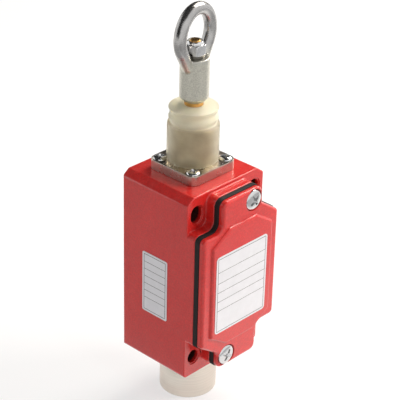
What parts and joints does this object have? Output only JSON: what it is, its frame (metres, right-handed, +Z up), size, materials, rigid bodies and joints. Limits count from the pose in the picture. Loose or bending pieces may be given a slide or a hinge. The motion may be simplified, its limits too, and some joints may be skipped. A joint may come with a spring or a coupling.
{
  "type": "rope pull switch",
  "caption": "Rope pull limit switch: red die-cast box with a screwed cover, square head flange, rubber boot and swivelling rope eye.",
  "frame": {"origin": "centre of the conduit adapter's lower face, on the pull rod's axis", "axes": "+Z up along the pull rod towards the rope, the screwed cover faces -Y, +X to the right seen from the cover"},
  "size_m": [0.0402, 0.0423, 0.1581],
  "materials": {
    "red_paint": "satin",
    "black_rubber": "matte",
    "zinc_casting": "satin",
    "bright_zinc": "gloss",
    "brass": "satin",
    "sintered_bronze": "matte",
    "nickel": "satin",
    "spring_steel": "satin",
    "silver": "satin",
    "silicone": "satin",
    "nylon": "satin",
    "black_plastic": "satin",
    "label_film": "satin"
  },
  "bodies": {
    "box": {"housing": "red_paint", "cover_gasket": "black_rubber", "front_cover": "red_paint", "cover_screws": "bright_zinc", "front_label": "label_film", "side_label": "label_film", "head_flange": "zinc_casting", "flange_o_ring": "black_rubber", "flange_screws": "bright_zinc", "guide_bush": "sintered_bronze", "boot": "silicone", "return_spring": "spring_steel", "conduit_adapter": "nickel", "adapter_seal": "black_rubber", "contact_base": "black_plastic", "contact_lid": "black_plastic", "fixed_contacts": "brass", "contact_tips": "silver", "terminal_screws": "bright_zinc", "clamp_washers": "bright_zinc", "insert_screws": "bright_zinc", "earth_screw": "bright_zinc", "earth_washer": "bright_zinc"},
    "plunger": {"pull_rod": "brass", "rod_clip": "spring_steel", "spring_plate": "spring_steel", "thrust_washer": "brass", "lock_nut": "bright_zinc", "nut_insert": "nylon", "slider": "nylon", "contact_bridges": "brass", "bridge_springs": "spring_steel"},
    "eye": {"rope_eye": "zinc_casting"}
  },
  "joints": [
    {"name": "pull", "type": "slide", "parent": "box", "child": "plunger", "axis": [0, 0, 1], "range_m": [0, 0.006], "stiffness_N_per_m": 1500, "springref_m": -0.01, "deforming": ["boot", "return_spring"]},
    {"name": "eye_swivel", "type": "hinge", "parent": "plunger", "child": "eye", "pos_m": [0, 0, 0.13], "axis": [0, 0, 1], "continuous": true}
  ]
}
